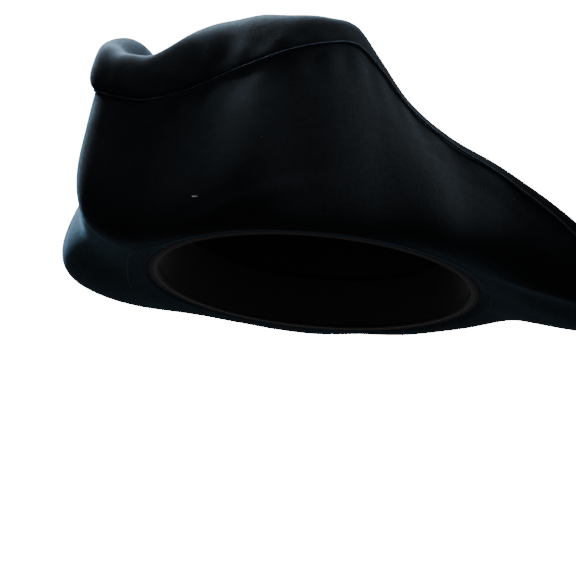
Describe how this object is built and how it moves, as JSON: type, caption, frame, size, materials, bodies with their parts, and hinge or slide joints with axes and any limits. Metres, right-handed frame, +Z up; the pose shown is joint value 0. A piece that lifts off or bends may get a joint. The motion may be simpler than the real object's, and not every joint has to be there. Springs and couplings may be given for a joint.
{
  "type": "three-cornered pirate hat",
  "caption": "Soft velvet-covered three-cornered hat with a high folded side flap, a padded rolled edge, a blunt front point and a drooping rear point.",
  "frame": {"origin": "centre of the head opening, in the plane of the crown seam", "axes": "+Z up into the crown, -Y towards the wearer's front, +X towards the wearer's left"},
  "size_m": [0.3434, 0.3006, 0.1816],
  "materials": {
    "velvet": "matte pile with a cool sheen at grazing angles",
    "foam": "open-cell foam sheet",
    "lining": "satin",
    "sweatband": "ribbed grosgrain",
    "fastener": "translucent"
  },
  "bodies": {
    "root": {"crown_tip": "velvet", "crown_side_left": "velvet", "crown_side_right": "velvet", "crown_foam_tip": "foam", "crown_foam_side": "foam", "crown_lining_tip": "lining", "crown_lining_side": "lining", "sweatband": "sweatband", "brim_outer": "velvet", "brim_foam": "foam", "brim_inner": "velvet", "roll_cover": "velvet", "roll_core": "foam", "edge_cord": "velvet", "tag_fastener": "fastener"}
  },
  "joints": []
}
